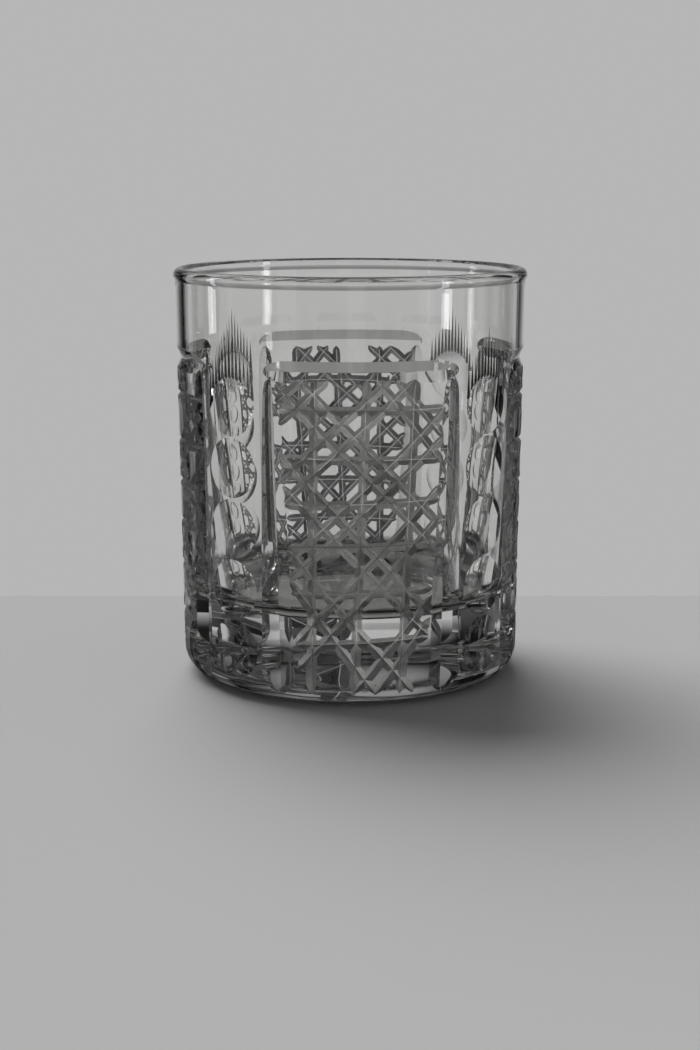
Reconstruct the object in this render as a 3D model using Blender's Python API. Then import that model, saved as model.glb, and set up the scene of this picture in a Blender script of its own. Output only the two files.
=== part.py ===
"""Cut-crystal whisky tumbler: one solid of clear glass, axis on Z, standing on the plane z = 0.

The outer skin is drawn unrolled, a quarter of the way round: X runs along the girth, Y into the glass
and Z up. A quarter holds one panel and the column of thumbprints on its left, and its two ends lie in the
plain strip between a panel and a column. All wheel cuts are made in that flat quarter, which is then
wrapped onto the tapered wall, repeated round the axis, and carried over the lip and down the inside.
"""
import math

import bmesh
import bpy
from mathutils import Vector

# Turned form of the glass, in metres.
HEIGHT = 0.0950
LIP_RADIUS_OUTSIDE = 0.0410
LIP_ROUND = 0.0011
LIP_PROUD = 0.0004
LIP_BLEND = 0.0030
WALL_RADIUS_AT_TABLE = 0.0394
HEEL_ROUND = 0.0065
FLOOR_THICKNESS = 0.0190
WALL_AT_FLOOR = 0.0044
INNER_CORNER_ROUND = 0.0060

# Panels: a frame of broad mitre cuts, across the top and down both sides.
PANELS = 4
FRAME_BELOW_LIP = 0.0204
FRAME_TOP_HALF_WIDTH = 0.0024
FRAME_TOP_DEPTH = 0.0010
FRAME_TOP_BLUNTNESS = 4
FRAME_TOP_END_SHARE = 0.2
FRAME_ANGLE_TOP = math.radians(29.4)
FRAME_ANGLE_TABLE = math.radians(27.8)
FRAME_SIDE_HALF_WIDTH_TOP = 0.0013
FRAME_SIDE_HALF_WIDTH_TABLE = 0.0042
FRAME_SIDE_DEPTH_TOP = 0.0006
FRAME_SIDE_DEPTH_TABLE = 0.0016

# Cane cutting inside the frame: upright, level and paired slanting mitres that leave octagons.
CELL_WIDTH = 0.0107
CELL_HEIGHT = 0.0104
FIRST_LEVEL_BELOW_FRAME = 0.0077
CANE_HALF_WIDTH = 0.0010
CANE_DEPTH = 0.0008
OCTAGON_CORNER = 1 - math.sqrt(0.5)

# Column of thumbprints between two panels.
PRINT_DIAMETER = 0.0134
PRINT_DEPTH = 0.0012
PRINT_PITCH = 0.0137
FIRST_PRINT_BELOW_FRAME = 0.0083
PRINT_SIDES = 14
PRINT_RINGS = 3
PRINT_WHEEL_REACH = 1.15

# Fan of fine tapering cuts that stands on each column.
FAN_CUTS = 13
FAN_SPREAD = 0.0126
FAN_TIP_ABOVE_FRAME = 0.0087
FAN_EDGE_ABOVE_FRAME = 0.0004
FAN_HALF_WIDTH = 0.00038
FAN_DEPTH = 0.00035
FAN_FLARE = 0.8
FAN_TIP_SHARE = 0.05

# Facets of the round forms and margins of the cutters.
STEPS_ACROSS_PANEL = 12
STEPS_ACROSS_COLUMN = 5
HEEL_STEPS = 3
LIP_STEPS = 4
CORNER_STEPS = 3
BACKING = 0.0015
CUTTER_RISE = 0.3
MARGIN = 0.0010
FAN_OVERLAP = 0.0006
MERGE_DISTANCE = 0.00001
SLIVER = 0.00003
SHARP_ANGLE = math.radians(20)

# Look of the glass.
GLASS_COLOUR = (0.96, 0.97, 0.97, 1)
GLASS_ROUGHNESS = 0.02
GLASS_IOR = 1.54

SECTOR = 2 * math.pi / PANELS
FRAME_LINE = HEIGHT - FRAME_BELOW_LIP
FIRST_LEVEL = FRAME_LINE - FIRST_LEVEL_BELOW_FRAME
FIRST_PRINT = FRAME_LINE - FIRST_PRINT_BELOW_FRAME
FAN_TIP = FRAME_LINE + FAN_TIP_ABOVE_FRAME
SKIN_TOP = FAN_TIP + MARGIN
PANEL_TOP = FRAME_LINE + FRAME_TOP_HALF_WIDTH + MARGIN


def wall_radius(z):
    """Outer radius of the plain tapered wall at height z, as if it ran straight to the table."""
    top = LIP_RADIUS_OUTSIDE - LIP_PROUD
    return WALL_RADIUS_AT_TABLE + (top - WALL_RADIUS_AT_TABLE) * z / HEIGHT


GIRTH_RADIUS = wall_radius(HEIGHT / 2)


def frame_line_x(z):
    """Distance along the girth from the panel's middle to the bottom of its side mitre."""
    angle = FRAME_ANGLE_TABLE + (FRAME_ANGLE_TOP - FRAME_ANGLE_TABLE) * z / FRAME_LINE
    return angle * GIRTH_RADIUS


QUARTER_WIDTH = SECTOR * GIRTH_RADIUS
COLUMN_X = -QUARTER_WIDTH / 2
COLUMN_HALF_WIDTH = max(PRINT_DIAMETER / 2, FAN_SPREAD / 2 + FAN_HALF_WIDTH * (1 + CUTTER_RISE))
SEAM_X = (frame_line_x(0) + FRAME_SIDE_HALF_WIDTH_TABLE + QUARTER_WIDTH / 2 - COLUMN_HALF_WIDTH) / 2


def heel_outline():
    """Rounded heel as (depth, height) points, from the table up to the straight wall."""
    points = []
    for step in range(HEEL_STEPS + 1):
        angle = math.pi / 2 * (1 - step / HEEL_STEPS)
        depth = HEEL_ROUND * (1 - math.cos(angle))
        points.append((depth, HEEL_ROUND * (1 - math.sin(angle))))
    return points


def inside_outline():
    """Lip and inside of the glass as (radius, height) points, from the top of the skin to the floor."""
    lip_middle = LIP_RADIUS_OUTSIDE - LIP_ROUND
    lip_height = HEIGHT - LIP_ROUND
    blend_height = lip_height - LIP_BLEND
    points = [(wall_radius(blend_height), blend_height)]
    for step in range(LIP_STEPS + 1):
        angle = math.pi * step / LIP_STEPS
        points.append((lip_middle + LIP_ROUND * math.cos(angle), lip_height + LIP_ROUND * math.sin(angle)))
    floor_radius = wall_radius(FLOOR_THICKNESS) - WALL_AT_FLOOR
    corner_middle = floor_radius - INNER_CORNER_ROUND
    corner_height = FLOOR_THICKNESS + INNER_CORNER_ROUND
    for step in range(CORNER_STEPS + 1):
        angle = math.pi / 2 * step / CORNER_STEPS
        radius = corner_middle + INNER_CORNER_ROUND * math.cos(angle)
        points.append((radius, corner_height - INNER_CORNER_ROUND * math.sin(angle)))
    return points


def object_from(name, bm):
    """New scene object that takes over a bmesh, with its faces turned outward."""
    bmesh.ops.recalc_face_normals(bm, faces=bm.faces)
    mesh = bpy.data.meshes.new(name)
    bm.to_mesh(mesh)
    bm.free()
    made = bpy.data.objects.new(name, mesh)
    bpy.context.scene.collection.objects.link(made)
    return made


def wrap(bm):
    """Bend flat geometry round the axis onto the tapered wall."""
    for vert in bm.verts:
        angle = vert.co.x / GIRTH_RADIUS
        radius = wall_radius(vert.co.z) - vert.co.y
        vert.co = (radius * math.sin(angle), -radius * math.cos(angle), vert.co.z)


def pushed_cap(bm, cap, is_start):
    """Extrude the cap of a growing prism and return the new cap. The cap that starts it stays."""
    grown = bmesh.ops.extrude_face_region(bm, geom=[cap])["geom"]
    if not is_start:
        bmesh.ops.delete(bm, geom=[cap], context='FACES_ONLY')
    return next(item for item in grown if isinstance(item, bmesh.types.BMFace))


def mitre(bm, stations):
    """Add a V-shaped cutter that runs through (x, z, half_width, depth) stations on the flat skin."""
    first = Vector((stations[0][0], 0, stations[0][1]))
    last = Vector((stations[-1][0], 0, stations[-1][1]))
    across = (last - first).normalized().cross(Vector((0, 1, 0)))
    cap = None
    for index, (x, z, half_width, depth) in enumerate(stations):
        middle = Vector((x, 0, z))
        reach = across * half_width * (1 + CUTTER_RISE)
        rise = Vector((0, -depth * CUTTER_RISE, 0))
        corners = [middle - reach + rise, middle + reach + rise, middle + Vector((0, depth, 0))]
        if cap is None:
            cap = bm.faces.new([bm.verts.new(corner) for corner in corners])
            continue
        cap = pushed_cap(bm, cap, index == 1)
        for vert, corner in zip(cap.verts, corners):
            vert.co = corner


def clipped(point, direction):
    """Ends of the line through a point that lie inside the panel's frame, or None."""
    low_z = -MARGIN
    lean = (frame_line_x(FRAME_LINE) - frame_line_x(low_z)) / (FRAME_LINE - low_z)
    at_zero = frame_line_x(0)
    limits = [((0, 1), FRAME_LINE), ((0, -1), -low_z), ((1, -lean), at_zero), ((-1, -lean), at_zero)]
    start, end = -math.inf, math.inf
    for (nx, nz), limit in limits:
        speed = nx * direction[0] + nz * direction[1]
        room = limit - nx * point[0] - nz * point[1]
        if speed > 0:
            end = min(end, room / speed)
        elif speed < 0:
            start = max(start, room / speed)
    if end - start < 2 * CANE_HALF_WIDTH:
        return None
    return [(point[0] + direction[0] * t, point[1] + direction[1] * t) for t in (start, end)]


def cane_cutter(name, lines):
    """Cutter object for one set of parallel cane mitres, given as (point, direction) pairs."""
    bm = bmesh.new()
    for point, direction in lines:
        ends = clipped(point, direction)
        if ends:
            mitre(bm, [(x, z, CANE_HALF_WIDTH, CANE_DEPTH) for x, z in ends])
    return object_from(name, bm)


def cane_cutters():
    """Upright, level, rising and falling mitres of one panel."""
    columns = int(frame_line_x(FRAME_LINE) / CELL_WIDTH)
    rows = int((FIRST_LEVEL - HEEL_ROUND) / CELL_HEIGHT) + 1
    upright = [((k * CELL_WIDTH, FIRST_LEVEL), (0, 1)) for k in range(-columns, columns + 1)]
    level = [((0, FIRST_LEVEL - k * CELL_HEIGHT), (1, 0)) for k in range(rows)]
    rising = []
    falling = []
    slope = Vector((CELL_WIDTH, CELL_HEIGHT)).normalized()
    reach = rows + columns
    for k in range(-reach, reach + 1):
        for corner in (-OCTAGON_CORNER, OCTAGON_CORNER):
            rising.append((((2 * k + corner) * CELL_WIDTH, FIRST_LEVEL), (slope.x, slope.y)))
            falling.append((((2 * k + 1 + corner) * CELL_WIDTH, FIRST_LEVEL), (slope.x, -slope.y)))
    return [
        cane_cutter("cane_upright", upright),
        cane_cutter("cane_level", level),
        cane_cutter("cane_rising", rising),
        cane_cutter("cane_falling", falling),
    ]


def frame_cutters():
    """Broad mitre across the top of a panel, lens-shaped, and the two that widen down its sides."""
    top = bmesh.new()
    steps = STEPS_ACROSS_PANEL
    half_length = frame_line_x(FRAME_LINE) + FRAME_SIDE_HALF_WIDTH_TOP
    stations = []
    for step in range(steps + 1):
        along = 2 * step / steps - 1
        fullness = max(1 - along ** FRAME_TOP_BLUNTNESS, FRAME_TOP_END_SHARE)
        stations.append((along * half_length, FRAME_LINE, FRAME_TOP_HALF_WIDTH * fullness,
                         FRAME_TOP_DEPTH * fullness))
    mitre(top, stations)
    sides = bmesh.new()
    for side in (-1, 1):
        mitre(sides, [
            (side * frame_line_x(FRAME_LINE), FRAME_LINE, FRAME_SIDE_HALF_WIDTH_TOP, FRAME_SIDE_DEPTH_TOP),
            (side * frame_line_x(0), -MARGIN, FRAME_SIDE_HALF_WIDTH_TABLE, FRAME_SIDE_DEPTH_TABLE),
        ])
    return [object_from("frame_top", top), object_from("frame_sides", sides)]


def print_cutters():
    """Rounded wheel for each thumbprint of the column."""
    radius = ((PRINT_DIAMETER / 2) ** 2 + PRINT_DEPTH ** 2) / (2 * PRINT_DEPTH)
    reach = math.asin(PRINT_DIAMETER / 2 / radius) * PRINT_WHEEL_REACH
    lowest = HEEL_ROUND / 2 + PRINT_DIAMETER / 2
    count = int((FIRST_PRINT - lowest) / PRINT_PITCH) + 1
    wheels = []
    for k in range(count):
        place = Vector((COLUMN_X, PRINT_DEPTH - radius, FIRST_PRINT - k * PRINT_PITCH))
        bm = bmesh.new()
        arc = []
        for ring in range(PRINT_RINGS + 1):
            angle = reach * ring / PRINT_RINGS
            arc.append(bm.verts.new(place + Vector((0, math.cos(angle), math.sin(angle))) * radius))
        line = [bm.edges.new(pair) for pair in zip(arc, arc[1:])]
        bmesh.ops.spin(bm, geom=line, angle=2 * math.pi, steps=PRINT_SIDES, axis=(0, 1, 0), cent=place,
                       use_merge=True)
        bmesh.ops.remove_doubles(bm, verts=bm.verts, dist=MERGE_DISTANCE)
        bmesh.ops.edgeloop_fill(bm, edges=[edge for edge in bm.edges if edge.is_boundary])
        wheels.append(object_from("thumbprint", bm))
    return wheels


def fan_cutters():
    """Fine cuts that start on the first thumbprint's edge and taper to a flame-shaped outline."""
    pitch = FAN_SPREAD / (FAN_CUTS - 1)
    turns = [bmesh.new(), bmesh.new()]
    for k in range(FAN_CUTS):
        offset = k * pitch - FAN_SPREAD / 2
        share = abs(offset) / (FAN_SPREAD / 2)
        foot = FIRST_PRINT + math.sqrt(max((PRINT_DIAMETER / 2) ** 2 - offset ** 2, 0)) - FAN_OVERLAP
        tip = FAN_TIP - (FAN_TIP_ABOVE_FRAME - FAN_EDGE_ABOVE_FRAME) * share ** FAN_FLARE
        mitre(turns[k % len(turns)], [
            (COLUMN_X + offset, foot, FAN_HALF_WIDTH, FAN_DEPTH),
            (COLUMN_X + offset, tip, FAN_HALF_WIDTH * FAN_TIP_SHARE, FAN_DEPTH * FAN_TIP_SHARE),
        ])
    return [object_from("fan", bm) for bm in turns]


def flat_quarter():
    """Uncut quarter of the skin, unrolled, with a backing that the cuts don't reach."""
    depth = HEEL_ROUND + BACKING
    outline = heel_outline() + [(0, PANEL_TOP), (0, SKIN_TOP), (depth, SKIN_TOP), (depth, 0)]
    column_width = QUARTER_WIDTH - 2 * SEAM_X
    strides = [column_width / STEPS_ACROSS_COLUMN] * STEPS_ACROSS_COLUMN
    strides += [2 * SEAM_X / STEPS_ACROSS_PANEL] * STEPS_ACROSS_PANEL
    bm = bmesh.new()
    cap = bm.faces.new([bm.verts.new((SEAM_X - QUARTER_WIDTH, y, z)) for y, z in outline])
    for step, stride in enumerate(strides):
        cap = pushed_cap(bm, cap, step == 0)
        bmesh.ops.translate(bm, verts=cap.verts, vec=(stride, 0, 0))
    panel_x = frame_line_x(FRAME_LINE)
    heel_row = heel_outline()[1][1] - MERGE_DISTANCE
    spare = []
    for edge in bm.edges:
        low, high = sorted(vert.co.z for vert in edge.verts)
        far = max(abs(vert.co.x) for vert in edge.verts)
        upright = high - low > MERGE_DISTANCE
        in_panel = upright and far < panel_x and low > heel_row and high < PANEL_TOP + MERGE_DISTANCE
        beside_panel = not upright and far > panel_x and abs(low - PANEL_TOP) < MERGE_DISTANCE
        on_front = max(vert.co.y for vert in edge.verts) < HEEL_ROUND + MERGE_DISTANCE
        if on_front and (in_panel or beside_panel):
            spare.append(edge)
    bmesh.ops.dissolve_edges(bm, edges=spare, use_verts=False)
    return object_from("skin", bm)


def cut_skin():
    """Cut quarter of the skin as a bmesh: the front of the flat quarter alone, in triangles."""
    blank = flat_quarter()
    cutters = frame_cutters() + cane_cutters() + print_cutters() + fan_cutters()
    for cutter in cutters:
        cut = blank.modifiers.new(cutter.name, 'BOOLEAN')
        cut.operation = 'DIFFERENCE'
        cut.solver = 'EXACT'
        cut.object = cutter
        cutter.hide_render = True
        cutter.display_type = 'WIRE'
    bpy.context.view_layer.update()
    evaluated = blank.evaluated_get(bpy.context.evaluated_depsgraph_get())
    bm = bmesh.new()
    bm.from_mesh(evaluated.to_mesh())
    for helper in cutters + [blank]:
        bpy.data.objects.remove(helper)
    depth = HEEL_ROUND + BACKING
    middle = SEAM_X - QUARTER_WIDTH / 2
    hidden = []
    for face in bm.faces:
        ends = all(abs(abs(vert.co.x - middle) - QUARTER_WIDTH / 2) < MERGE_DISTANCE for vert in face.verts)
        back = all(vert.co.y > depth - MERGE_DISTANCE for vert in face.verts)
        top = all(vert.co.z > SKIN_TOP - MERGE_DISTANCE for vert in face.verts)
        foot = all(vert.co.z < MERGE_DISTANCE for vert in face.verts)
        if ends or back or top or foot:
            hidden.append(face)
    bmesh.ops.delete(bm, geom=hidden, context='FACES')
    bmesh.ops.triangulate(bm, faces=bm.faces)
    bmesh.ops.dissolve_degenerate(bm, dist=SLIVER, edges=bm.edges)
    bmesh.ops.triangulate(bm, faces=bm.faces)
    return bm


def tumbler():
    """Whole glass: the cut skin wrapped and repeated, then the lip, the inside and the base."""
    bm = cut_skin()
    wrap(bm)
    quarter = bm.verts[:] + bm.edges[:] + bm.faces[:]
    bmesh.ops.spin(bm, geom=quarter, angle=2 * math.pi - SECTOR, steps=PANELS - 1, axis=(0, 0, 1),
                   cent=(0, 0, 0), use_duplicate=True)
    seams = {vert for edge in bm.edges if edge.is_boundary for vert in edge.verts}
    bmesh.ops.remove_doubles(bm, verts=list(seams), dist=MERGE_DISTANCE)
    rings = [edge for edge in bm.edges if edge.is_boundary]
    foot = [edge for edge in rings if max(vert.co.z for vert in edge.verts) < MERGE_DISTANCE]
    ring = [edge for edge in rings if min(vert.co.z for vert in edge.verts) > SKIN_TOP - MERGE_DISTANCE]
    bmesh.ops.edgeloop_fill(bm, edges=foot)
    for radius, height in inside_outline():
        grown = bmesh.ops.extrude_edge_only(bm, edges=ring)["geom"]
        ring = [item for item in grown if isinstance(item, bmesh.types.BMEdge) and item.is_boundary]
        for vert in {vert for edge in ring for vert in edge.verts}:
            flat = Vector((vert.co.x, vert.co.y)).normalized() * radius
            vert.co = (flat.x, flat.y, height)
    bmesh.ops.edgeloop_fill(bm, edges=ring)
    made = object_from("tumbler", bm)
    made.data.shade_smooth()
    made.data.set_sharp_from_angle(angle=SHARP_ANGLE)
    return made


def crystal():
    """Clear polished crystal glass."""
    material = bpy.data.materials.new("crystal")
    material.use_nodes = True
    shader = material.node_tree.nodes["Principled BSDF"]
    shader.inputs["Base Color"].default_value = GLASS_COLOUR
    shader.inputs["Roughness"].default_value = GLASS_ROUGHNESS
    shader.inputs["Metallic"].default_value = 0
    shader.inputs["IOR"].default_value = GLASS_IOR
    shader.inputs["Transmission Weight"].default_value = 1
    return material


for existing in list(bpy.data.objects):
    bpy.data.objects.remove(existing)
tumbler().data.materials.append(crystal())
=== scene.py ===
import math

import bmesh
import bpy
from mathutils import Matrix, Vector


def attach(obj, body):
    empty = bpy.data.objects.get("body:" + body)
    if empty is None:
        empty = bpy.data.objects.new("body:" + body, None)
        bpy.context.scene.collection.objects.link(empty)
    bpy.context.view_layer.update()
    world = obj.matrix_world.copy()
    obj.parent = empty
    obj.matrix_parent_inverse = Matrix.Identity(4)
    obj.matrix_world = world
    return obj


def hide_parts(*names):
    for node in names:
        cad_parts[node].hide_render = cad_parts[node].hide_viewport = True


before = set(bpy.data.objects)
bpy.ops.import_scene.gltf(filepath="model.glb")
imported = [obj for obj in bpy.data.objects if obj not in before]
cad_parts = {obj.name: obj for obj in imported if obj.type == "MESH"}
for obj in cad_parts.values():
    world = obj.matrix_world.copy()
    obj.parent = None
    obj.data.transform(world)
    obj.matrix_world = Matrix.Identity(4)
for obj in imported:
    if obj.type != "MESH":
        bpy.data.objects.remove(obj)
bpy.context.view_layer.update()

# Blown body of the tumbler: one gather of clear crystal, straight-sided, with a thick floor.
# Its outer skin is laid out flat for a quarter of the girth, X along the girth, Y into the glass
# and Z up, so that every wheel cut can be made straight before the skin is bent round the axis.
height = 0.0950
lip_radius = 0.0410
lip_proud = 0.0004
table_radius = 0.0394
heel_round = 0.0065
heel_steps = 12
quarter = math.pi / 2
columns = 92
skin_depth = 0.0080
skin_top = 0.0846
seam_x = 0.0239
tiny = 0.00001


def wall_radius(z):
    """Outer radius of the plain tapered wall at height z."""
    return table_radius + (lip_radius - lip_proud - table_radius) * z / height


def placed(name, bm):
    """Object at the origin that takes over a bmesh, with its faces turned outward."""
    bmesh.ops.recalc_face_normals(bm, faces=bm.faces)
    mesh = bpy.data.meshes.new(name)
    bm.to_mesh(mesh)
    bm.free()
    made = bpy.data.objects.new(name, mesh)
    bpy.context.scene.collection.objects.link(made)
    return made


girth_radius = wall_radius(height / 2)
quarter_width = quarter * girth_radius
skin = bmesh.new()
bmesh.ops.create_cube(skin, size=1)
bmesh.ops.scale(skin, vec=(quarter_width, skin_depth, skin_top), verts=skin.verts)
bmesh.ops.translate(skin, vec=(seam_x - quarter_width / 2, skin_depth / 2, skin_top / 2), verts=skin.verts)
heel = [edge for edge in skin.edges if max(max(vert.co.y, vert.co.z) for vert in edge.verts) < tiny]
bmesh.ops.bevel(skin, geom=heel, offset=heel_round, offset_type='OFFSET', affect='EDGES',
                segments=heel_steps, profile=0.5, material=-1)
girthwise = [edge for edge in skin.edges if edge.calc_length() > quarter_width - tiny]
bmesh.ops.subdivide_edges(skin, edges=girthwise, cuts=columns - 1, use_grid_fill=True)
blank = placed("blank", skin)

# Cane cutting of a panel: upright, level, rising and falling mitre cuts of a fine stone wheel, left matt.
# They cross so that octagonal windows of the plain wall stay between them. Each cut is a row of
# (x, z) ends in millimetres on the flat skin, as they were cut by eye on the real glass.
upright_cuts = [(-10.5, 73.4, -11.7, -1.0), (0.9, 73.4, -2.1, -1.0), (11.8, 73.4, 8.5, -1.0)]
level_cuts = [
    (-19.5, 66.4, 19.5, 66.4), (-18.7, 55.9, 18.6, 55.4), (-17.8, 45.5, 17.9, 46.4),
    (-17.0, 36.2, 17.1, 36.8), (-16.2, 25.8, 16.2, 26.5), (-15.2, 14.3, 15.3, 15.5),
]
rising_cuts = [
    (-19.7, 67.7, -12.5, 73.4), (-19.3, 62.8, -7.1, 73.4), (-18.3, 51.2, 6.3, 73.4),
    (-17.8, 46.0, 12.1, 73.4), (-16.8, 33.0, 19.6, 66.8), (-16.4, 29.0, 19.1, 60.6),
    (-15.2, 14.6, 18.2, 49.8), (-14.8, 8.7, 17.6, 42.5), (-5.8, -1.0, 16.1, 25.0), (-0.1, -1.0, 15.7, 20.0),
]
falling_cuts = [
    (-20.0, 72.1, 17.0, 35.6), (-14.5, 73.4, 17.4, 41.1), (-18.8, 57.1, 15.8, 20.7),
    (-18.2, 49.9, 15.4, 15.9), (2.7, 73.4, 18.5, 54.2), (6.9, 73.4, 19.0, 59.8),
    (-17.0, 35.7, 14.1, 0.6), (-16.4, 28.7, 6.2, -1.0),
]
millimetre = 0.001
cane_half_width = 0.0010
cane_depth = 0.0008
cane_bottom = 0.00005
cane_widening = 0.35
widening_below = 0.022
station_stride = 0.0014
run_out = 0.0024
run_out_steps = 4
tip_share = 0.04
cutter_rise = 0.3
polished_slot = 0
matt_slot = 1


def wheel_cut(bm, stations, across, bottom):
    """Adds a V-shaped cutter through (x, z, half_width, depth) stations, its floor 2 * bottom wide."""
    cap = None
    for x, z, half_width, depth in stations:
        middle = Vector((x, 0, z))
        reach = across * (half_width + (half_width - bottom) * cutter_rise)
        lift = Vector((0, -depth * cutter_rise, 0))
        floor = Vector((0, depth, 0))
        foot = across * min(bottom, half_width / 4)
        corners = [middle - reach + lift, middle + reach + lift, middle + foot + floor, middle - foot + floor]
        if cap is None:
            cap = bm.faces.new([bm.verts.new(corner) for corner in corners])
            first = cap
            continue
        grown = bmesh.ops.extrude_face_region(bm, geom=[cap])["geom"]
        if cap is not first:
            bmesh.ops.delete(bm, geom=[cap], context='FACES_ONLY')
        cap = next(item for item in grown if isinstance(item, bmesh.types.BMFace))
        for vert, corner in zip(cap.verts, corners):
            vert.co = corner


def matt_flanks(bm, bottom_depth):
    """Gives a cutter's flanks the matt slot and leaves its narrow floor polished."""
    for face in bm.faces:
        on_floor = min(vert.co.y for vert in face.verts) > bottom_depth
        face.material_index = polished_slot if on_floor else matt_slot


wheels = []
for cuts in (upright_cuts, level_cuts, rising_cuts, falling_cuts):
    wheel = bmesh.new()
    for cut in cuts:
        x0, z0, x1, z1 = [value * millimetre for value in cut]
        along = Vector((x1 - x0, 0, z1 - z0))
        length = along.length
        inner_steps = math.ceil((length - 2 * run_out) / station_stride)
        distances = [run_out * step / run_out_steps for step in range(run_out_steps)]
        distances += [run_out + (length - 2 * run_out) * step / inner_steps for step in range(inner_steps + 1)]
        distances += [length - run_out * step / run_out_steps for step in reversed(range(run_out_steps))]
        stations = []
        for distance in distances:
            x = x0 + along.x * distance / length
            z = z0 + along.z * distance / length
            to_tip = min(1, distance / run_out, (length - distance) / run_out)
            fuller = 1 + cane_widening * max(0, 1 - z / widening_below)
            fuller *= max(tip_share, 1 - (1 - to_tip) ** 2)
            stations.append((x, z, cane_half_width * fuller, cane_depth * fuller))
        wheel_cut(wheel, stations, along.normalized().cross(Vector((0, 1, 0))), cane_bottom)
    matt_flanks(wheel, cane_depth / 2)
    wheels.append(placed("cane_wheel", wheel))

# Frame of a panel: broad mitre cuts made with a coarse wheel and polished clear again. The one across
# the top is a cushion with rounded ends, and the two at the sides widen and deepen down to the heel.
frame_line = 0.0746
frame_angle_top = math.radians(29.4)
frame_angle_table = math.radians(27.8)
frame_top_half_width = 0.0024
frame_top_depth = 0.0010
frame_top_rounding = 0.0060
frame_top_overrun = 0.0017
frame_side_half_width = (0.0042, 0.0013)
frame_side_depth = (0.0016, 0.0006)
frame_bottom = 0.00004
frame_steps = 60
frame_tip_share = 0.03
frame_foot = -0.0010
frame_side_top = 0.0738
frame_side_rounding = 0.0040


def frame_x(z):
    """Distance along the girth from a panel's middle to the floor of its side mitre."""
    return (frame_angle_table + (frame_angle_top - frame_angle_table) * z / frame_line) * girth_radius


top_wheel = bmesh.new()
half_length = frame_x(frame_line) + frame_top_overrun
stations = []
for step in range(frame_steps + 1):
    x = half_length * math.sin(math.pi / 2 * (2 * step / frame_steps - 1))
    past = max(0, abs(x) - half_length + frame_top_rounding) / frame_top_rounding
    fullness = max(math.sqrt(max(0, 1 - past ** 2)), frame_tip_share)
    stations.append((x, frame_line, frame_top_half_width * fullness, frame_top_depth * fullness))
wheel_cut(top_wheel, stations, Vector((0, 0, 1)), frame_bottom)
wheels.append(placed("frame_top_wheel", top_wheel))
side_wheel = bmesh.new()
for side in (-1, 1):
    stations = []
    for step in range(frame_steps + 1):
        share = step / frame_steps
        z = frame_foot + (frame_side_top - frame_foot) * math.sin(math.pi / 2 * share)
        half_width = frame_side_half_width[0] + (frame_side_half_width[1] - frame_side_half_width[0]) * share
        depth = frame_side_depth[0] + (frame_side_depth[1] - frame_side_depth[0]) * share
        past = max(0, z - frame_side_top + frame_side_rounding) / frame_side_rounding
        fullness = max(math.sqrt(max(0, 1 - past ** 2)), frame_tip_share)
        stations.append((side * frame_x(z), z, half_width * fullness, depth * fullness))
    wheel_cut(side_wheel, stations, Vector((1, 0, 0)), frame_bottom)
wheels.append(placed("frame_side_wheel", side_wheel))

# Thumbprints: a column of five shallow round hollows between two panels, ground with a rounded wheel
# and polished clear, so that each one is a small lens in the wall.
column_x = -quarter_width / 2
print_diameter = 0.0134
print_depth = 0.0012
print_pitch = 0.0137
first_print = 0.0663
print_count = 5
print_sides = 72
print_rings = 12
print_reach = 1.12

print_radius = ((print_diameter / 2) ** 2 + print_depth ** 2) / (2 * print_depth)
print_angle = math.asin(print_diameter / 2 / print_radius) * print_reach
for k in range(print_count):
    place = Vector((column_x, print_depth - print_radius, first_print - k * print_pitch))
    ball = bmesh.new()
    deepest = ball.verts.new(place + Vector((0, print_radius, 0)))
    bmesh.ops.spin(ball, geom=[deepest], angle=print_angle, steps=print_rings, axis=(1, 0, 0), cent=place)
    bmesh.ops.spin(ball, geom=ball.verts[:] + ball.edges[:], angle=2 * math.pi, steps=print_sides,
                   axis=(0, 1, 0), cent=place, use_merge=True)
    bmesh.ops.remove_doubles(ball, verts=ball.verts, dist=tiny)
    bmesh.ops.edgeloop_fill(ball, edges=[edge for edge in ball.edges if edge.is_boundary])
    wheels.append(placed("thumbprint_wheel", ball))

# Fan on each column: thirteen fine matt cuts that start on the first thumbprint's edge and run out
# upwards to needle points, the middle one longest, so that they make a flame.
fan_cuts = 13
fan_spread = 0.0126
fan_tip = 0.0833
fan_edge = 0.0750
fan_flare = 0.8
fan_half_width = 0.00050
fan_depth = 0.00035
fan_overlap = 0.0006
fan_bottom = 0.00002
fan_tip_share = 0.06
fine_slot = 2

needles = [bmesh.new(), bmesh.new()]
for k in range(fan_cuts):
    offset = fan_spread * (k / (fan_cuts - 1) - 0.5)
    share = abs(offset) / (fan_spread / 2)
    foot = first_print + math.sqrt(max(0, (print_diameter / 2) ** 2 - offset ** 2)) - fan_overlap
    tip = fan_tip - (fan_tip - fan_edge) * share ** fan_flare
    x = column_x + offset
    stations = [(x, foot, fan_half_width, fan_depth),
                (x, tip, fan_half_width * fan_tip_share, fan_depth * fan_tip_share)]
    wheel_cut(needles[k % 2], stations, Vector((1, 0, 0)), fan_bottom)
for needle in needles:
    for face in needle.faces:
        face.material_index = fine_slot
    wheels.append(placed("fan_wheel", needle))

# The whole tumbler: the cut skin is bent round the axis, repeated for the four panels, and carried over
# the fire-polished lip, down the inside and across the thick floor. The foot is ground slightly hollow.
bead_round = 0.0016
bead_foot = 0.0034
bead_fillet = 0.00020
bead_steps = 10
lip_steps = 10
inner_round = 0.0007
floor_thickness = 0.0190
wall_at_lip = 0.0019
wall_at_floor = 0.0044
thicker_below = 0.070
thickening_power = 1.6
inside_steps = 16
inner_corner = 0.0060
corner_steps = 12
foot_rings = [(0.0317, 0.0), (0.0309, 0.00015), (0.0300, 0.0004), (0.0200, 0.0007)]
sharp_angle = math.radians(14)

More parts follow.
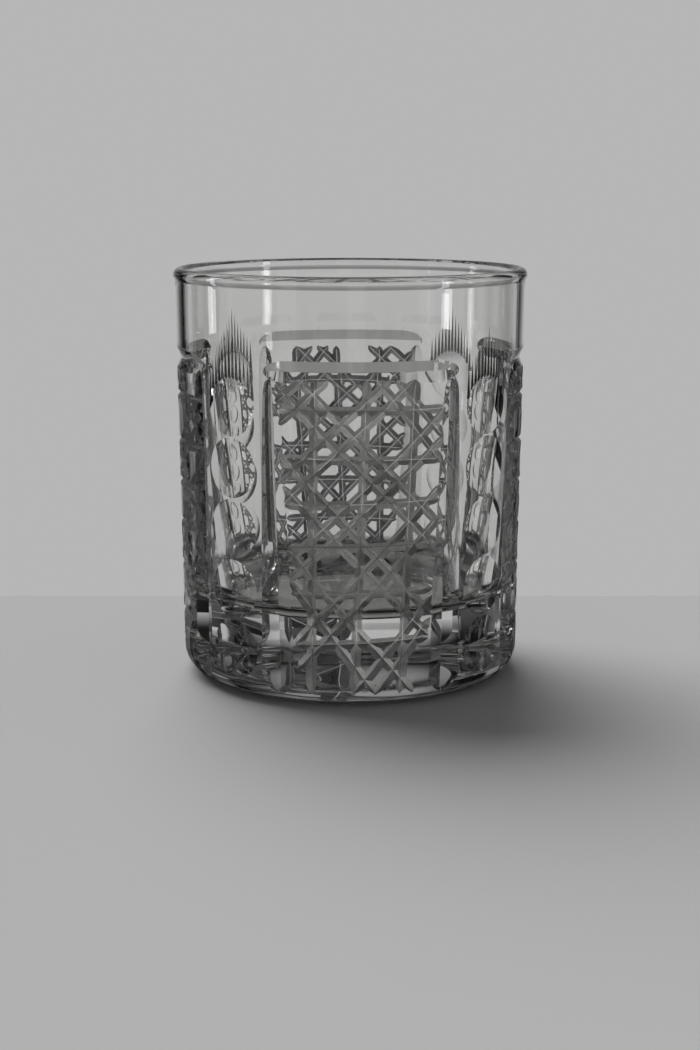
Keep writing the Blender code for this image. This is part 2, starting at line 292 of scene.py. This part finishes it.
for slot_name in ("polished", "matt", "fine"):
    material = bpy.data.materials.new(slot_name)
    for made in [blank] + wheels:
        made.data.materials.append(material)
rack = bpy.data.collections.new("wheels")
for wheel in wheels:
    rack.objects.link(wheel)
cutting = blank.modifiers.new("cutting", 'BOOLEAN')
cutting.operation = 'DIFFERENCE'
cutting.solver = 'EXACT'
cutting.operand_type = 'COLLECTION'
cutting.collection = rack
bpy.context.view_layer.update()
glass = bmesh.new()
glass.from_mesh(blank.evaluated_get(bpy.context.evaluated_depsgraph_get()).to_mesh())
for helper in wheels + [blank]:
    bpy.data.objects.remove(helper)
middle_x = seam_x - quarter_width / 2
hidden = []
for face in glass.faces:
    at_ends = all(abs(abs(vert.co.x - middle_x) - quarter_width / 2) < tiny for vert in face.verts)
    at_back = all(vert.co.y > skin_depth - tiny for vert in face.verts)
    at_top = all(vert.co.z > skin_top - tiny for vert in face.verts)
    at_foot = all(vert.co.z < tiny for vert in face.verts)
    if at_ends or at_back or at_top or at_foot:
        hidden.append(face)
bmesh.ops.delete(glass, geom=hidden, context='FACES')
bmesh.ops.triangulate(glass, faces=glass.faces)
bmesh.ops.dissolve_degenerate(glass, dist=tiny, edges=glass.edges)
bmesh.ops.triangulate(glass, faces=glass.faces)
for vert in glass.verts:
    angle = vert.co.x / girth_radius
    radius = wall_radius(vert.co.z) - vert.co.y
    vert.co = (radius * math.sin(angle), -radius * math.cos(angle), vert.co.z)
bmesh.ops.spin(glass, geom=glass.verts[:] + glass.edges[:] + glass.faces[:], angle=2 * math.pi - quarter,
               steps=3, axis=(0, 0, 1), cent=(0, 0, 0), use_duplicate=True)
seams = {vert for edge in glass.edges if edge.is_boundary for vert in edge.verts}
bmesh.ops.remove_doubles(glass, verts=list(seams), dist=tiny)


def carried(ring, outline):
    """Extrudes a ring of edges through (radius, height) points and returns the last ring."""
    for radius, z in outline:
        grown = bmesh.ops.extrude_edge_only(glass, edges=ring)["geom"]
        ring = [item for item in grown if isinstance(item, bmesh.types.BMEdge) and item.is_boundary]
        for vert in {vert for edge in ring for vert in edge.verts}:
            flat = Vector((vert.co.x, vert.co.y)).normalized() * radius
            vert.co = (flat.x, flat.y, z)
    return ring


bead_middle = lip_radius - bead_round
bead_height = height - bead_round
outline = []
for step in range(bead_steps):
    z = height - bead_foot + (bead_foot - bead_round) * step / bead_steps
    bead = bead_middle + math.sqrt(max(0, bead_round ** 2 - (bead_height - z) ** 2))
    wall = wall_radius(z)
    near = max(0, 1 - abs(bead - wall) / bead_fillet)
    outline.append((max(bead, wall) + near * near * bead_fillet / 4, z))
for step in range(lip_steps + 1):
    angle = math.pi / 2 * step / lip_steps
    outline.append((bead_middle + bead_round * math.cos(angle), bead_height + bead_round * math.sin(angle)))
lip_height = height - inner_round
for step in range(1, lip_steps + 1):
    angle = math.pi / 2 * step / lip_steps
    outline.append((bead_middle - inner_round * math.sin(angle), lip_height + inner_round * math.cos(angle)))
corner_top = floor_thickness + inner_corner
for step in range(1, inside_steps):
    z = lip_height - (lip_height - corner_top) * step / inside_steps
    deep = max(0, thicker_below - z) / (thicker_below - corner_top)
    thickness = wall_at_lip + (wall_at_floor - wall_at_lip) * deep ** thickening_power
    outline.append((wall_radius(z) - thickness, z))
floor_radius = wall_radius(corner_top) - wall_at_floor
for step in range(corner_steps + 1):
    angle = math.pi / 2 * step / corner_steps
    outline.append((floor_radius - inner_corner + inner_corner * math.cos(angle),
                    floor_thickness + inner_corner - inner_corner * math.sin(angle)))
rims = [edge for edge in glass.edges if edge.is_boundary]
foot_rim = [edge for edge in rims if max(vert.co.z for vert in edge.verts) < tiny]
top_rim = [edge for edge in rims if min(vert.co.z for vert in edge.verts) > skin_top - tiny]
bmesh.ops.edgeloop_fill(glass, edges=carried(top_rim, outline))
bmesh.ops.edgeloop_fill(glass, edges=carried(foot_rim, foot_rings))
tumbler = placed("cut_tumbler", glass)
tumbler.data.shade_smooth()
tumbler.data.set_sharp_from_angle(angle=sharp_angle)

# Finish of the glass: clear polished crystal with the faint ripple of handwork, the cane cuts left matt,
# a grey grain, painted shade on the matt cuts where they are seen from inside, and painted shade in the fine
# cuts of the fan.
polished = bpy.data.materials.new("crystal_polished")
polished.use_nodes = True
nodes, links = polished.node_tree.nodes, polished.node_tree.links
shader = nodes["Principled BSDF"]
shader.inputs["Metallic"].default_value = 0
shader.inputs["IOR"].default_value = 1.54
shader.inputs["Transmission Weight"].default_value = 1
coords = nodes.new("ShaderNodeTexCoord")
ripple = nodes.new("ShaderNodeTexNoise")
ripple.inputs["Scale"].default_value = 60
ripple.inputs["Detail"].default_value = 1
bump = nodes.new("ShaderNodeBump")
bump.inputs["Strength"].default_value = 0.008
bump.inputs["Distance"].default_value = 0.001
stretched = nodes.new("ShaderNodeMapping")
stretched.inputs["Scale"].default_value = (60, 60, 14)
streaks = nodes.new("ShaderNodeTexNoise")
streaks.inputs["Scale"].default_value = 1
streaks.inputs["Detail"].default_value = 2
tint = nodes.new("ShaderNodeMix")
tint.data_type = 'RGBA'
tint.inputs["A"].default_value = (0.975, 0.985, 0.985, 1)
tint.inputs["B"].default_value = (0.995, 0.99, 0.97, 1)
wiped = nodes.new("ShaderNodeMapRange")
wiped.inputs["From Min"].default_value = 0.45
wiped.inputs["From Max"].default_value = 0.75
wiped.inputs["To Min"].default_value = 0
wiped.inputs["To Max"].default_value = 0.03
links.new(coords.outputs["Object"], ripple.inputs["Vector"])
links.new(ripple.outputs["Fac"], bump.inputs["Height"])
links.new(bump.outputs["Normal"], shader.inputs["Normal"])
links.new(coords.outputs["Object"], stretched.inputs["Vector"])
links.new(stretched.outputs["Vector"], streaks.inputs["Vector"])
links.new(streaks.outputs["Fac"], tint.inputs["Factor"])
links.new(tint.outputs["Result"], shader.inputs["Base Color"])
links.new(ripple.outputs["Fac"], wiped.inputs["Value"])
links.new(wiped.outputs["Result"], shader.inputs["Roughness"])

matt = bpy.data.materials.new("crystal_matt_cut")
matt.use_nodes = True
nodes, links = matt.node_tree.nodes, matt.node_tree.links
shader = nodes["Principled BSDF"]
shader.inputs["Metallic"].default_value = 0
shader.inputs["IOR"].default_value = 1.54
shader.inputs["Transmission Weight"].default_value = 0.95
coords = nodes.new("ShaderNodeTexCoord")
grain = nodes.new("ShaderNodeTexNoise")
grain.inputs["Scale"].default_value = 2600
grain.inputs["Detail"].default_value = 3
bump = nodes.new("ShaderNodeBump")
bump.inputs["Strength"].default_value = 0.25
bump.inputs["Distance"].default_value = 0.0002
chatter = nodes.new("ShaderNodeTexNoise")
chatter.inputs["Scale"].default_value = 700
chatter.inputs["Detail"].default_value = 4
grain_grey_and_painted_shade = nodes.new("ShaderNodeValToRGB")
grain_grey_and_painted_shade.color_ramp.elements[0].position = 0.36
grain_grey_and_painted_shade.color_ramp.elements[0].color = (0.52, 0.52, 0.50, 1)
grain_grey_and_painted_shade.color_ramp.elements[1].position = 0.64
grain_grey_and_painted_shade.color_ramp.elements[1].color = (0.76, 0.76, 0.73, 1)
geometry = nodes.new("ShaderNodeNewGeometry")
# Painted shade: where a matt cut is seen from inside the glass (its back face), its colour is near-black.
painted_shade_from_inside = nodes.new("ShaderNodeMix")
painted_shade_from_inside.data_type = 'RGBA'
painted_shade_from_inside.inputs["B"].default_value = (0.025, 0.025, 0.025, 1)
roughened = nodes.new("ShaderNodeMapRange")
roughened.inputs["To Min"].default_value = 0.38
roughened.inputs["To Max"].default_value = 0.22
links.new(coords.outputs["Object"], grain.inputs["Vector"])
links.new(grain.outputs["Fac"], bump.inputs["Height"])
links.new(bump.outputs["Normal"], shader.inputs["Normal"])
links.new(coords.outputs["Object"], chatter.inputs["Vector"])
links.new(chatter.outputs["Fac"], grain_grey_and_painted_shade.inputs["Fac"])
links.new(grain_grey_and_painted_shade.outputs["Color"], painted_shade_from_inside.inputs["A"])
links.new(geometry.outputs["Backfacing"], painted_shade_from_inside.inputs["Factor"])
links.new(painted_shade_from_inside.outputs["Result"], shader.inputs["Base Color"])
links.new(chatter.outputs["Fac"], roughened.inputs["Value"])
links.new(roughened.outputs["Result"], shader.inputs["Roughness"])

fine = bpy.data.materials.new("crystal_fine_cut")
fine.use_nodes = True
nodes, links = fine.node_tree.nodes, fine.node_tree.links
shader = nodes["Principled BSDF"]
shader.inputs["Metallic"].default_value = 0
shader.inputs["Roughness"].default_value = 0.3
shader.inputs["IOR"].default_value = 1.54
shader.inputs["Transmission Weight"].default_value = 0.85
coords = nodes.new("ShaderNodeTexCoord")
scratches = nodes.new("ShaderNodeTexNoise")
scratches.inputs["Scale"].default_value = 1800
scratches.inputs["Detail"].default_value = 3
# Painted shade: the fine cuts of the fan are painted dark grey, varied at random by the noise.
grain_grey_and_painted_shade = nodes.new("ShaderNodeValToRGB")
grain_grey_and_painted_shade.color_ramp.elements[0].position = 0.36
grain_grey_and_painted_shade.color_ramp.elements[0].color = (0.07, 0.07, 0.07, 1)
grain_grey_and_painted_shade.color_ramp.elements[1].position = 0.64
grain_grey_and_painted_shade.color_ramp.elements[1].color = (0.22, 0.22, 0.21, 1)
bump = nodes.new("ShaderNodeBump")
bump.inputs["Strength"].default_value = 0.2
bump.inputs["Distance"].default_value = 0.0001
links.new(coords.outputs["Object"], scratches.inputs["Vector"])
links.new(scratches.outputs["Fac"], grain_grey_and_painted_shade.inputs["Fac"])
links.new(grain_grey_and_painted_shade.outputs["Color"], shader.inputs["Base Color"])
links.new(scratches.outputs["Fac"], bump.inputs["Height"])
links.new(bump.outputs["Normal"], shader.inputs["Normal"])

tumbler.data.materials.append(polished)
tumbler.data.materials.append(matt)
tumbler.data.materials.append(fine)
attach(tumbler, "root")
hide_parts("tumbler")

# Studio: a wide pale table that ends behind the glass, under soft light, and a pale grey surround.
# The glass sees lit strips of the surround with dark gaps between, as between a photographer's screens,
# and the gaps draw its edges.
strip_count = 8
strip_half_width = (math.radians(6.5), math.radians(4))
strips = bpy.data.node_groups.new("lit_strips", 'ShaderNodeTree')
strips.interface.new_socket("Direction", in_out='INPUT', socket_type='NodeSocketVector')
strips.interface.new_socket("Bearing", in_out='OUTPUT', socket_type='NodeSocketFloat')
strips.interface.new_socket("Strips", in_out='OUTPUT', socket_type='NodeSocketFloat')
nodes, links = strips.nodes, strips.links
taken = nodes.new("NodeGroupInput")
given = nodes.new("NodeGroupOutput")
split = nodes.new("ShaderNodeSeparateXYZ")
bearing = nodes.new("ShaderNodeMath")
bearing.operation = 'ARCTAN2'
repeated = nodes.new("ShaderNodeMath")
repeated.operation = 'MULTIPLY'
repeated.inputs[1].default_value = strip_count
wave = nodes.new("ShaderNodeMath")
wave.operation = 'COSINE'
narrow_strips = nodes.new("ShaderNodeMapRange")
narrow_strips.inputs["From Min"].default_value = math.cos(strip_count * strip_half_width[0])
narrow_strips.inputs["From Max"].default_value = math.cos(strip_count * strip_half_width[1])
links.new(taken.outputs["Direction"], split.inputs["Vector"])
links.new(split.outputs["X"], bearing.inputs[0])
links.new(split.outputs["Y"], bearing.inputs[1])
links.new(bearing.outputs["Value"], repeated.inputs[0])
links.new(repeated.outputs["Value"], wave.inputs[0])
links.new(wave.outputs["Value"], narrow_strips.inputs["Value"])
links.new(bearing.outputs["Value"], given.inputs["Bearing"])
links.new(narrow_strips.outputs["Result"], given.inputs["Strips"])

# The table shows the glass its own pale tone, but with painted shade and a painted glow: reflections see it
# near-black between the strips, and rays off and through the glass see a painted shadow ring about the foot
# and a painted glow under the foot, where the shadow of the glass would be black.
view_turn = math.radians(4)
table_size = 6.0
table_drop = 0.0002
table_behind = 0.074
pale_table = (0.47, 0.47, 0.47, 1)
shaded_table = (0.006, 0.006, 0.006, 1)
# Painted shadow: the table's colour near the foot, as rays off and through the glass see it.
painted_foot_shadow = (0.012, 0.012, 0.0115, 1)
foot_shade = (0.055, 0.080)
# Painted glow: an emission under the foot that only rays off and through the glass see.
painted_glow_under_foot = (0.18, 0.18, 0.175, 1)
painted_glow_edge = (0.037, 0.023)
table_bm = bmesh.new()
bmesh.ops.create_grid(table_bm, x_segments=1, y_segments=1, size=table_size / 2)
bmesh.ops.translate(table_bm, vec=(0, table_behind - table_size / 2, -table_drop), verts=table_bm.verts)
bmesh.ops.rotate(table_bm, cent=(0, 0, 0), matrix=Matrix.Rotation(-view_turn, 3, 'Z'), verts=table_bm.verts)
table = placed("table", table_bm)
table_paint = bpy.data.materials.new("pale_table")
table_paint.use_nodes = True
nodes, links = table_paint.node_tree.nodes, table_paint.node_tree.links
shader = nodes["Principled BSDF"]
shader.inputs["Roughness"].default_value = 1
shader.inputs["Specular IOR Level"].default_value = 0
coords = nodes.new("ShaderNodeTexCoord")
pattern = nodes.new("ShaderNodeGroup")
pattern.node_tree = strips
lit = nodes.new("ShaderNodeMath")
lit.operation = 'MAXIMUM'
# Painted shade: reflections in the glass see the table near-black outside the narrow strips, while rays
# through the glass see it pale.
strips_or_painted_shade = nodes.new("ShaderNodeMix")
strips_or_painted_shade.data_type = 'RGBA'
strips_or_painted_shade.inputs["A"].default_value = shaded_table
strips_or_painted_shade.inputs["B"].default_value = pale_table
from_axis = nodes.new("ShaderNodeVectorMath")
from_axis.operation = 'LENGTH'
# Mask of the painted shadow ring: 0 near the axis, 1 clear of the foot.
clear_of_painted_shadow = nodes.new("ShaderNodeMapRange")
clear_of_painted_shadow.interpolation_type = 'SMOOTHSTEP'
clear_of_painted_shadow.inputs["From Min"].default_value = foot_shade[0]
clear_of_painted_shadow.inputs["From Max"].default_value = foot_shade[1]
in_glass = nodes.new("ShaderNodeMix")
in_glass.data_type = 'RGBA'
in_glass.inputs["A"].default_value = painted_foot_shadow
ray = nodes.new("ShaderNodeLightPath")
through_glass = nodes.new("ShaderNodeMath")
through_glass.operation = 'MAXIMUM'
colour = nodes.new("ShaderNodeMix")
colour.data_type = 'RGBA'
colour.inputs["A"].default_value = pale_table
below = nodes.new("ShaderNodeMapRange")
below.interpolation_type = 'SMOOTHSTEP'
below.inputs["From Min"].default_value = painted_glow_edge[0]
below.inputs["From Max"].default_value = painted_glow_edge[1]
below_in_glass = nodes.new("ShaderNodeMath")
below_in_glass.operation = 'MULTIPLY'
# Painted glow: emission colour of the table under the foot, for rays off and through the glass only.
painted_glow = nodes.new("ShaderNodeMix")
painted_glow.data_type = 'RGBA'
painted_glow.inputs["A"].default_value = (0, 0, 0, 1)
painted_glow.inputs["B"].default_value = painted_glow_under_foot
shader.inputs["Emission Strength"].default_value = 1
links.new(coords.outputs["Object"], pattern.inputs["Direction"])
links.new(pattern.outputs["Strips"], lit.inputs[0])
links.new(ray.outputs["Is Transmission Ray"], lit.inputs[1])
links.new(lit.outputs["Value"], strips_or_painted_shade.inputs["Factor"])
links.new(coords.outputs["Object"], from_axis.inputs[0])
links.new(from_axis.outputs["Value"], clear_of_painted_shadow.inputs["Value"])
links.new(clear_of_painted_shadow.outputs["Result"], in_glass.inputs["Factor"])
links.new(strips_or_painted_shade.outputs["Result"], in_glass.inputs["B"])
links.new(ray.outputs["Is Glossy Ray"], through_glass.inputs[0])
links.new(ray.outputs["Is Transmission Ray"], through_glass.inputs[1])
links.new(through_glass.outputs["Value"], colour.inputs["Factor"])
links.new(in_glass.outputs["Result"], colour.inputs["B"])
links.new(colour.outputs["Result"], shader.inputs["Base Color"])
links.new(from_axis.outputs["Value"], below.inputs["Value"])
links.new(below.outputs["Result"], below_in_glass.inputs[0])
links.new(through_glass.outputs["Value"], below_in_glass.inputs[1])
links.new(below_in_glass.outputs["Value"], painted_glow.inputs["Factor"])
links.new(painted_glow.outputs["Result"], shader.inputs["Emission Color"])
table.data.materials.append(table_paint)

# The surround is pale to the camera. The glass sees a broad strip of it behind, the narrow strips round
# about and all of it below, fading upwards, and matt surfaces take an even light from it.
scene = bpy.context.scene
pale = (0.47, 0.47, 0.47, 1)
dark_gap = (0.004, 0.004, 0.004, 1)
even_light = (0.20, 0.20, 0.20, 1)
broad_half_width = (math.radians(31), math.radians(12))
pale_below = (-0.34, -0.55)
level_share, top_share = (0.0, 1.0), (0.6, 0.05)
shares_between = ((0.08, 0.60), (0.34, 0.35))
world = bpy.data.worlds.new("surround")
scene.world = world
world.use_nodes = True
nodes, links = world.node_tree.nodes, world.node_tree.links
background = nodes["Background"]
direction = nodes.new("ShaderNodeTexCoord")
split = nodes.new("ShaderNodeSeparateXYZ")
pattern = nodes.new("ShaderNodeGroup")
pattern.node_tree = strips
turned = nodes.new("ShaderNodeMath")
turned.operation = 'SUBTRACT'
turned.inputs[1].default_value = view_turn
folded = nodes.new("ShaderNodeMath")
folded.operation = 'ABSOLUTE'
broad_strip = nodes.new("ShaderNodeMapRange")
broad_strip.interpolation_type = 'SMOOTHSTEP'
broad_strip.inputs["From Min"].default_value = broad_half_width[0]
broad_strip.inputs["From Max"].default_value = broad_half_width[1]
from_above = nodes.new("ShaderNodeMapRange")
from_above.interpolation_type = 'SMOOTHSTEP'
from_above.inputs["From Min"].default_value = pale_below[0]
from_above.inputs["From Max"].default_value = pale_below[1]
any_strip = nodes.new("ShaderNodeMath")
any_strip.operation = 'MAXIMUM'
lit = nodes.new("ShaderNodeMath")
lit.operation = 'MAXIMUM'
in_glass = nodes.new("ShaderNodeMix")
in_glass.data_type = 'RGBA'
in_glass.inputs["A"].default_value = dark_gap
in_glass.inputs["B"].default_value = pale
overhead = nodes.new("ShaderNodeValToRGB")
for stop, (sine, share) in zip(overhead.color_ramp.elements, (level_share, top_share)):
    stop.position = sine
    stop.color = (share, share, share, 1)
for sine, share in shares_between:
    stop = overhead.color_ramp.elements.new(sine)
    stop.color = (share, share, share, 1)
lowered = nodes.new("ShaderNodeVectorMath")
lowered.operation = 'MULTIPLY'
ray = nodes.new("ShaderNodeLightPath")
through_glass = nodes.new("ShaderNodeMath")
through_glass.operation = 'MAXIMUM'
seen_in_glass = nodes.new("ShaderNodeMix")
seen_in_glass.data_type = 'RGBA'
seen_in_glass.inputs["A"].default_value = even_light
seen = nodes.new("ShaderNodeMix")
seen.data_type = 'RGBA'
seen.inputs["B"].default_value = pale
links.new(direction.outputs["Generated"], split.inputs["Vector"])
links.new(direction.outputs["Generated"], pattern.inputs["Direction"])
links.new(pattern.outputs["Bearing"], turned.inputs[0])
links.new(turned.outputs["Value"], folded.inputs[0])
links.new(folded.outputs["Value"], broad_strip.inputs["Value"])
links.new(pattern.outputs["Strips"], any_strip.inputs[0])
links.new(broad_strip.outputs["Result"], any_strip.inputs[1])
links.new(split.outputs["Z"], from_above.inputs["Value"])
links.new(any_strip.outputs["Value"], lit.inputs[0])
links.new(from_above.outputs["Result"], lit.inputs[1])
links.new(lit.outputs["Value"], in_glass.inputs["Factor"])
links.new(split.outputs["Z"], overhead.inputs["Fac"])
links.new(in_glass.outputs["Result"], lowered.inputs[0])
links.new(overhead.outputs["Color"], lowered.inputs[1])
links.new(ray.outputs["Is Glossy Ray"], through_glass.inputs[0])
links.new(ray.outputs["Is Transmission Ray"], through_glass.inputs[1])
links.new(through_glass.outputs["Value"], seen_in_glass.inputs["Factor"])
links.new(lowered.outputs["Vector"], seen_in_glass.inputs["B"])
links.new(ray.outputs["Is Camera Ray"], seen.inputs["Factor"])
links.new(seen_in_glass.outputs["Result"], seen.inputs["A"])
links.new(seen.outputs["Result"], background.inputs["Color"])

# Lamps: a broad soft one for the table and the matt cuts, and two upright softboxes that
# only the polished glass shows, as its two bright streaks.
sun = bpy.data.lights.new("even_light", 'SUN')
sun.energy = 3.0
sun.angle = math.radians(50)
sun_object = bpy.data.objects.new("even_light", sun)
scene.collection.objects.link(sun_object)
sun_object.rotation_euler = (math.radians(-35), math.radians(-20), 0)
sun_object.visible_glossy = False
sun_object.visible_transmission = False


def softbox(name, bearing_degrees, distance, low, high, width, radiance):
    """Upright lamp of an even radiance that faces the axis, its bearing counted from -Y towards +X."""
    lamp = bpy.data.lights.new(name, 'AREA')
    lamp.shape = 'RECTANGLE'
    lamp.size, lamp.size_y = width, high - low
    lamp.energy = radiance * math.pi * width * (high - low)
    made = bpy.data.objects.new(name, lamp)
    scene.collection.objects.link(made)
    angle = math.radians(bearing_degrees)
    made.location = (distance * math.sin(angle), -distance * math.cos(angle), (low + high) / 2)
    made.rotation_euler = (math.pi / 2, 0, angle)
    made.visible_diffuse = False


softbox("right_window", bearing_degrees=60, distance=0.8, low=0.0, high=0.6, width=0.08, radiance=5)
softbox("left_strip", bearing_degrees=-104, distance=0.8, low=0.0, high=0.6, width=0.06, radiance=4)

# Camera at the photograph's angle, turned a little to the right and looking down.
look_down = 0.1886
camera_data = bpy.data.cameras.new("camera")
camera_data.lens = 66.23
camera_data.sensor_width = 36
camera = bpy.data.objects.new("camera", camera_data)
scene.collection.objects.link(camera)
camera.location = (-0.0315, -0.4499, 0.1201)
camera.rotation_euler = (math.pi / 2 - look_down, 0, -view_turn)
scene.camera = camera
scene.view_settings.view_transform = 'Standard'
scene.cycles.max_bounces = 32
scene.cycles.transmission_bounces = 32
scene.cycles.glossy_bounces = 16
